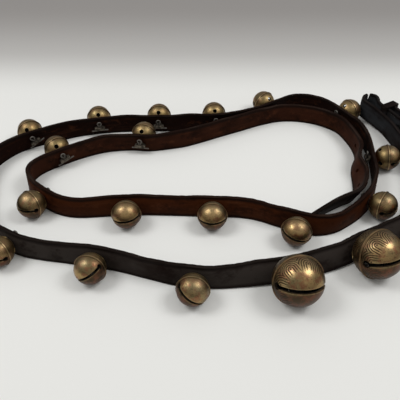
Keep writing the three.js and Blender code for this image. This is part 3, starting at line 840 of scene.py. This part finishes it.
def strap_cutters():
    """Shank holes, punched holes, the slot for the tongue and the tear in the bend, in the flat strip."""
    deep = 4 * STRAP_THICKNESS
    middle = STRAP_WIDTH / 2
    holes = [(place * MM, NECK_DIAMETER / 2 + NECK_CLEARANCE) for place in BELL_PLACES]
    for index in range(PUNCH_COUNT):
        holes.append((STRAP_LENGTH - PUNCH_FROM_TIP - index * PUNCH_PITCH, PUNCH_DIAMETER / 2))
    rods = [rod("hole_cutter", radius, deep, (x, 0, middle), (0, 1, 0)) for x, radius in holes]
    slot_length = math.pi * WRAP_RADIUS + 2 * CREW_SLOT_REACH
    slot_place = CHAPE_RETURN - CREW_SLOT_REACH + slot_length / 2 - END_LENGTH
    slot = block("slot_cutter", (slot_length, deep, CREW_SLOT_HEIGHT), (slot_place, 0, middle))
    pick(slot, "EDGE", lambda a, b: abs(a.y - b.y) > deep / 2)
    bpy.ops.mesh.bevel(offset=CREW_SLOT_HEIGHT * 0.49, segments=8, affect="EDGES")
    leave()
    tear_place = -BEND_LEAD - (math.pi / 2 + TEAR_TURN) * BEND_RADIUS
    tear = block("tear_cutter", (TEAR_WIDTH, deep, 2 * TEAR_DEPTH), (tear_place, 0, STRAP_WIDTH))
    for sign, widening in ((-1, TEAR_FOOT_SHARE), (1, TEAR_MOUTH_SHARE)):
        pick(tear, "VERT", lambda co: (co.z - STRAP_WIDTH) * sign > 0)
        bpy.ops.transform.resize(value=(widening, 1, 1), center_override=(tear_place, 0, 0))
        leave()
    return [joined("hole_cutters", rods), slot, tear]


def flat_strip():
    """The leather cut out flat: along X, thick in Y, across in Z, with round edges and creases on a face."""
    length = STRAP_LENGTH + END_LENGTH
    size = (length, STRAP_THICKNESS, STRAP_WIDTH)
    strip = block("strap_leather", size, (STRAP_LENGTH - length / 2, 0, STRAP_WIDTH / 2))
    pick(strip, "EDGE", lambda a, b: abs(a.x - b.x) > NEAR)
    bpy.ops.mesh.bevel(offset=EDGE_ROUND, segments=4, affect="EDGES")
    leave()
    creases = [CREASE_FROM_EDGE, STRAP_WIDTH - CREASE_FROM_EDGE]
    for crease in creases:
        for share in (-1, 0, 1):
            slice_all(strip, (0, 0, crease + share * CREASE_WIDTH / 2), (0, 0, 1))
    slice_all(strip, (0, 0, STRAP_WIDTH / 2), (0, 0, 1))
    pick(strip, "VERT", lambda co: co.y > 0 and any(abs(co.z - crease) < HAIR for crease in creases))
    bpy.ops.transform.translate(value=(0, -CREASE_DEPTH, 0))
    leave()
    for cuts, end in ((99, STRAP_LENGTH), (6, STRAP_LENGTH), (2, 0)):
        pick(strip, "EDGE", lambda a, b: abs(a.x - b.x) > NEAR and max(a.x, b.x) <= end + NEAR)
        bpy.ops.mesh.subdivide(number_cuts=cuts)
        leave()
    return strip


def unevenness(x, side, height):
    """Hand-worked waves of the face, nicks of the edges, and creases of the bent end."""
    wave = noise.noise(Vector((x * 30, side * 400, height * 60))) * FACE_WAVE
    rise = noise.noise(Vector((x * 45, 3, 5))) * EDGE_WAVE + noise.noise(Vector((x * 260, 7, 1))) * EDGE_NICK
    bent = smooth((CRUMPLE_PLACE - x) / CRUMPLE_FADE)
    crumple = bent * noise.noise(Vector((x * 110, 2, height * 50))) * CRUMPLE_DEPTH
    return wave, rise, crumple


def strap_leather():
    strip = flat_strip()
    cut(strip, strap_cutters())
    keep_place(strip, "strap_place")
    sections = {}
    for vertex in strip.data.vertices:
        x, side, height = vertex.co
        key = round(x, 6)
        if key not in sections:
            sections[key] = section(x)
        foot, face, up = sections[key]
        thicker, higher, crumple = unevenness(x, side, height)
        side += math.copysign(thicker, side) + crumple
        level = taper(x, height) + higher * (height > WAVY_ABOVE)
        vertex.co = LAYOUT_SHIFT + foot + face * side + up * level
    smooth_shade(strip, 40)
    return strip


# The bells. In a bell's frame the origin is in the middle of the strap, Z goes out along the shank and Y up.


def ball(name, radius):
    deselect()
    bpy.ops.mesh.primitive_uv_sphere_add(segments=BALL_SEGMENTS, ring_count=BALL_RINGS, radius=radius)
    return begin(name)


def from_centre(side, angle):
    """Direction at an angle from the outer pole towards a side."""
    return Vector((0, 0, math.cos(angle))) + Vector(side) * math.sin(angle)


def bell_shell(name, size):
    """Hollow cast ball with a rib round its middle, a slot with round ends, and sound holes by the shank."""
    radius = size["radius"]
    shell = ball(name, radius)
    half = size["rib_width"] / 2
    for height in (-half, half):
        slice_all(shell, (0, 0, height), (0, 0, 1))
    pick(shell, "FACE", lambda centre, normal: abs(centre.z) < half)
    crest = RIB_CREST * size["rib_height"]
    bpy.ops.mesh.extrude_region_shrink_fatten(TRANSFORM_OT_shrink_fatten={"value": crest})
    bpy.ops.mesh.select_mode(type="EDGE")
    bpy.ops.transform.resize(value=(1, 1, RIB_TAPER), center_override=(0, 0, 0))
    leave()
    reach = radius * CUTTER_REACH
    floor = radius * math.cos(SLOT_REACH)
    slot_size = (2 * reach, size["slot_width"], reach)
    cutters = [
        ball("hollow_cutter", radius - size["wall"]),
        block("slot_cutter", slot_size, (0, 0, floor + reach / 2)),
    ]
    for sign in (-1, 1):
        way = from_centre((sign, 0, 0), SLOT_REACH)
        cutters.append(rod("end_cutter", size["slot_end"] / 2, reach, way * reach / 2, way))
    for index in range(SOUND_HOLES):
        turn = 2 * math.pi * index / SOUND_HOLES
        way = from_centre((math.sin(turn), math.cos(turn), 0), math.pi - SOUND_HOLE_ANGLE)
        cutters.append(rod("hole_cutter", size["sound_hole"] / 2, reach, way * reach / 2, way))
    cut(shell, cutters)
    rounded(shell, CAST_ROUND, 2, 40)
    keep_place(shell, "bell_place", scale=1 / radius)
    smooth_shade(shell, 30)
    shell.data.transform(Matrix.Translation((0, 0, bell_reach(size))))
    return shell


def bell_shank(name, size):
    """Neck through the strap, and a tab with two lobes that the cotter goes through."""
    tab_start = -STRAP_THICKNESS / 2 - TAB_GAP
    neck_end = bell_reach(size) - size["radius"] + size["wall"] / 2
    neck_length = neck_end - tab_start + TAB_LENGTH / 4
    neck = rod("neck", NECK_DIAMETER / 2, neck_length, (0, 0, neck_end - neck_length / 2))
    tab = block("tab", (TAB_WIDTH, TAB_HEIGHT, TAB_LENGTH), (0, 0, tab_start - TAB_LENGTH / 2))
    for share in TAB_CUTS:
        slice_all(tab, (share * TAB_WIDTH, 0, 0), (1, 0, 0))
    pick(tab, "VERT", lambda co: abs(co.x) < TAB_DIP_REACH * TAB_WIDTH and co.y > 0)
    bpy.ops.transform.translate(value=(0, -TAB_DIP, 0))
    leave()
    pick(tab, "VERT", lambda co: abs(co.x) > TAB_END_START * TAB_WIDTH)
    tab_middle = (0, 0, tab_start - TAB_LENGTH / 2)
    bpy.ops.transform.resize(value=(1, TAB_END_HEIGHT, TAB_END_LENGTH), center_override=tab_middle)
    leave()
    rounded(tab, TAB_ROUND, 3, 35)
    shank = joined(name, [neck, tab])
    smooth_shade(shank, 40)
    return shank


def cotter_pin(name, size):
    """Split pin bent from one wire: round eye above the tab, legs spread below it."""
    wire = COTTER_WIRE / 2
    spread = COTTER_LEG_SPREAD / 2
    eye = size["cotter_eye"] / 2 - wire
    centre = size["cotter_top"] - size["cotter_eye"] / 2
    depth = -STRAP_THICKNESS / 2 - TAB_GAP - TAB_LENGTH / 2
    eye_turns = [math.radians(turn) for turn in (40, 80, 120, 160)]
    right = [
        (spread, -COTTER_LEG_DROP - COTTER_TIP_DROP),
        (spread * 0.62, -COTTER_LEG_DROP),
        (spread * 0.25, -COTTER_LEG_DROP + COTTER_LEG_RISE),
        (wire, -TAB_HEIGHT * 0.42),
        (wire, TAB_HEIGHT * 0.5),
        *((eye * math.sin(turn), centre - eye * math.cos(turn)) for turn in eye_turns),
    ]
    left = [(-x, y + COTTER_LEG_STAGGER * (x > spread / 2)) for x, y in reversed(right)]
    deselect()
    bpy.ops.curve.primitive_bezier_curve_add()
    pin = bpy.context.active_object
    spline = pin.data.splines[0]
    spline.bezier_points.add(len(right) + len(left) - 2)
    for point, (x, y) in zip(spline.bezier_points, right + left):
        point.co = (x, y, depth)
        point.handle_left_type = point.handle_right_type = "AUTO"
    pin.data.bevel_depth = wire
    pin.data.bevel_resolution = 3
    pin.data.use_fill_caps = True
    pin.data.resolution_u = 6
    bpy.ops.object.convert(target="MESH")
    pin = begin(name)
    smooth_shade(pin, 40)
    return pin


def pellet_ball(name, size):
    """Rough cast ball."""
    deselect()
    bpy.ops.mesh.primitive_ico_sphere_add(subdivisions=4, radius=size["pellet"] / 2 * PELLET_SHARE)
    pellet = begin(name)
    for vertex in pellet.data.vertices:
        vertex.co *= 1 + PELLET_ROUGHNESS * noise.noise(vertex.co * 400)
    smooth_shade(pellet)
    return pellet


def bell_matrix(index):
    """A bell's place, from its joint: the shank's axis, and the turn that the middle of its range gives."""
    joint = joints[f"bell_{index + 1:02d}_swivel"]
    axis = Vector(joint["axis"])
    up = (UP - axis * UP.dot(axis)).normalized()
    basis = Matrix((up.cross(axis), up, axis)).transposed().to_4x4()
    turn = -sum(joint["range_deg"]) / 2
    return Matrix.Translation(joint["pos_m"]) @ basis @ Matrix.Rotation(math.radians(turn), 4, "Z")


def bells():
    iron = iron_paint()
    grimed = shank_paint()
    kinds = {"small": SMALL_BELL, "large": LARGE_BELL}
    brass = {
        "small": brass_paint("small_bell_brass", SMALL_BELL, engraving=0.3, rib_shine=0.5),
        "large": brass_paint("large_bell_brass", LARGE_BELL, engraving=0.9, rib_shine=0.12),
    }
    models = {}
    for kind, size in kinds.items():
        models[kind] = (
            bell_shell(f"{kind}_shell", size),
            bell_shank(f"{kind}_shank", size),
            cotter_pin(f"{kind}_cotter", size),
            pellet_ball(f"{kind}_pellet", size),
        )
    for index in range(len(BELL_PLACES)):
        kind = "large" if index < LARGE_COUNT else "small"
        body = f"bell_{index + 1:02d}"
        matrix = bell_matrix(index)
        shell, shank, cotter, pellet = models[kind]
        dress(copied(shell, f"{body}_shell", matrix), brass[kind], body, [body])
        dress(copied(shank, f"{body}_shank", matrix), grimed, body)
        dress(copied(cotter, f"{body}_cotter", matrix), iron, body)
        node = f"pellet_{index + 1:02d}"
        low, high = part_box(node)
        place = Matrix.Translation((Vector(low) + Vector(high)) / 2)
        dress(copied(pellet, f"{node}_ball", place), iron, node, [node])
    for model in models.values():
        for obj in model:
            bpy.data.objects.remove(obj)


# The buckle end. In the buckle's frame X goes from the heel bar to the far bar and Z up along the heel bar.


def buckle_matrix():
    _, way, outward = run_frame(HEEL_PLACE)
    return Matrix.Translation(HEEL) @ Matrix((way, outward, UP)).transposed().to_4x4()


def ring_of(name, size, centre, wall):
    """A block with a hole right through it along Y, leaving a wall of one thickness."""
    ring = block(name, size, centre)
    pick(ring, "FACE", lambda at, normal: abs(normal.y) > 0.9)
    bpy.ops.mesh.inset(thickness=wall, use_even_offset=True)
    bpy.ops.mesh.bridge_edge_loops()
    leave()
    return ring


def buckle_frame():
    half = BUCKLE_BAR / 2
    size = (BUCKLE_LENGTH + BUCKLE_BAR, BUCKLE_BAR, 2 * BUCKLE_HEEL_HALF)
    ring = ring_of("buckle_bar", size, (BUCKLE_LENGTH / 2, 0, 0), BUCKLE_BAR)
    for sign in (-1, 1):
        pick(ring, "VERT", lambda co: co.x > BUCKLE_LENGTH / 2 and co.z * sign > 0)
        bpy.ops.transform.translate(value=(0, 0, sign * BUCKLE_FLARE))
        leave()
    pick(ring, "EDGE", lambda a, b: abs(a.y - b.y) > half and min(a.x, b.x) > BUCKLE_LENGTH)
    bpy.ops.mesh.bevel(offset=BUCKLE_CORNER, segments=6, affect="EDGES")
    leave()
    rounded(ring, BUCKLE_ROUND, 4, 50)
    smooth_shade(ring, 50)
    ring.data.transform(buckle_matrix())
    return ring


def buckle_tongue():
    """A ring on the heel bar and a bar from it that lies on the far bar."""
    bore = BUCKLE_BAR * TONGUE_BORE_SHARE + TONGUE_PLAY
    rim = bore + TONGUE_THICKNESS * TONGUE_RIM_SHARE
    seat = BUCKLE_BAR / 2 + TONGUE_PLAY
    eye = rod("tongue_eye", rim, TONGUE_WIDTH, sides=48)
    cut(eye, [rod("bore_cutter", bore, 2 * TONGUE_WIDTH, sides=48)])
    tip = BUCKLE_LENGTH + BUCKLE_BAR / 2 + TONGUE_OVERHANG
    start = bore + TONGUE_ROOT
    centre = ((start + tip) / 2, 0, 0)
    bar = block("tongue_bar", (tip - start, TONGUE_THICKNESS, TONGUE_WIDTH), centre)
    bend = BUCKLE_LENGTH - BUCKLE_BAR
    slice_all(bar, (bend, 0, 0), (1, 0, 0))
    pick(bar, "VERT", lambda co: co.x > bend - NEAR)
    bpy.ops.transform.translate(value=(0, seat + TONGUE_THICKNESS / 2, 0))
    leave()
    pick(bar, "VERT", lambda co: co.x > tip - NEAR and co.y > seat + NEAR)
    bpy.ops.transform.resize(value=(1, 1, TONGUE_TIP_SHARE), center_override=(0, 0, 0))
    bpy.ops.transform.translate(value=(0, -TONGUE_THICKNESS / 2, 0))
    leave()
    for piece in (eye, bar):
        rounded(piece, TONGUE_ROUND, 3, 40)
    tongue = joined("tongue_iron", [eye, bar])
    smooth_shade(tongue, 40)
    tongue.data.transform(buckle_matrix())
    return tongue


def beside_end(along, out):
    """Frame on the bent-back end: X out from the main run, Y along it, Z up, in the middle of the leather."""
    _, way, outward = run_frame(along)
    middle = LAYOUT_SHIFT + beside_run(along, out) + UP * (END_LIFT + STRAP_WIDTH / 2)
    return Matrix.Translation(middle) @ Matrix((outward, way, UP)).transposed().to_4x4()


def keeper_loop():
    inside, outside = back_offset(KEEPER_PLACE), return_offset(KEEPER_PLACE)
    inner_x = (outside - inside + STRAP_THICKNESS) / 2 + KEEPER_PLAY
    inner_z = STRAP_WIDTH / 2 + KEEPER_SIDE_PLAY
    size = (2 * (inner_x + KEEPER_WALL), KEEPER_WIDTH, 2 * (inner_z + KEEPER_WALL))
    loop = ring_of("keeper_leather", size, (0, 0, 0), KEEPER_WALL)
    rounded(loop, KEEPER_ROUND, 4, 40)
    keep_place(loop, "strap_place", (0, -KEEPER_GRAIN_PLACE, -STRAP_WIDTH / 2))
    smooth_shade(loop, 40)
    loop.data.transform(beside_end(KEEPER_PLACE, (inside + outside) / 2))
    return loop


def end_stitches():
    """Two rows of stitches that hold the leather round the heel bar."""
    deselect()
    bpy.ops.mesh.primitive_uv_sphere_add(segments=8, ring_count=6, radius=0.5)
    bpy.context.active_object.scale = (STITCH_THICKNESS * 0.8, STITCH_LENGTH, STITCH_THICKNESS)
    model = begin("stitch")
    slant = Matrix.Rotation(STITCH_SLANT, 4, "X")
    stitches = []
    place = KEEPER_PLACE + KEEPER_WIDTH / 2 + STITCH_PITCH
    while place < HEEL_PLACE - STITCH_PITCH:
        for edge in (-1, 1):
            height = edge * (STRAP_WIDTH / 2 - STITCH_FROM_EDGE)
            outer_face = return_offset(place) + STRAP_THICKNESS / 2
            inner_face = back_offset(place) - STRAP_THICKNESS / 2
            for out in (outer_face, inner_face):
                matrix = beside_end(place, out) @ Matrix.Translation((0, 0, height)) @ slant
                stitches.append(copied(model, "stitch", matrix))
        place += STITCH_PITCH
    bpy.data.objects.remove(model)
    thread = joined("end_stitches", stitches)
    smooth_shade(thread, 60)
    return thread


def strap_end():
    leather = leather_paint()
    japan = japan_paint()
    dress(strap_leather(), leather, "strap", ["strap"])
    dress(keeper_loop(), leather, "strap", ["keeper"])
    dress(end_stitches(), thread_paint(), "strap")
    dress(buckle_frame(), japan, "buckle", ["buckle_frame"])
    dress(buckle_tongue(), japan, "tongue", ["buckle_tongue"])


# Floor, light and camera


def floor():
    deselect()
    bpy.ops.mesh.primitive_plane_add(size=FLOOR_SIZE)
    plane = begin("floor")
    paint = Paint("pale_floor")
    _, y, _ = paint.axes(paint.place())
    # Painted shade: the floor turns grey further back.
    far = y.rise(0.21, 0.37) * 0.55 + y.rise(0.25, 0.58) * 0.45
    near_white = rgb(0.825, 0.828, 0.805)
    painted_far_shade = rgb(0.33, 0.315, 0.305)
    colour = paint.mix(far, near_white, painted_far_shade)
    paint.set(Base_Color=colour, Roughness=0.85, Specular_IOR_Level=0.2)
    plane.data.materials.append(paint.material)


def lamp(name, place):
    light = bpy.data.lights.new(name, "AREA")
    light.shape = "DISK"
    light.size = LAMP_SIZE
    light.energy = LAMP_WATTS
    obj = bpy.data.objects.new(name, light)
    obj.location = place
    obj.rotation_euler = (-Vector(place)).to_track_quat("-Z", "Y").to_euler()
    bpy.context.collection.objects.link(obj)


def light():
    world = bpy.data.worlds.new("soft_room")
    world.use_nodes = True
    bpy.context.scene.world = world
    tree = world.node_tree
    way = tree.nodes.new("ShaderNodeTexCoord")
    split = tree.nodes.new("ShaderNodeSeparateXYZ")
    height = tree.nodes.new("ShaderNodeMapRange")
    background = tree.nodes["Background"]
    background.inputs["Color"].default_value = rgb(1.0, 0.99, 0.97)
    for name, value in ROOM_STRENGTH.items():
        height.inputs[name].default_value = value
    tree.links.new(way.outputs["Generated"], split.inputs["Vector"])
    tree.links.new(split.outputs["Z"], height.inputs["Value"])
    tree.links.new(height.outputs["Result"], background.inputs["Strength"])
    lamp("lamp_left", (-LAMP_SIDE, LAMP_BACK, LAMP_HEIGHT))
    lamp("lamp_right", (LAMP_SIDE, LAMP_BACK, LAMP_HEIGHT))


def camera():
    data = bpy.data.cameras.new("camera")
    data.lens = CAMERA_LENS
    data.sensor_width = SENSOR_WIDTH
    obj = bpy.data.objects.new("camera", data)
    obj.location = LAYOUT_SHIFT + Vector(CAMERA_ROUTE_PLACE)
    obj.rotation_euler = (math.pi / 2 - CAMERA_PITCH, 0, 0)
    bpy.context.collection.objects.link(obj)
    bpy.context.scene.camera = obj


camera()
light()
floor()
strap_end()
bells()
bpy.context.scene.view_settings.view_transform = "Standard"
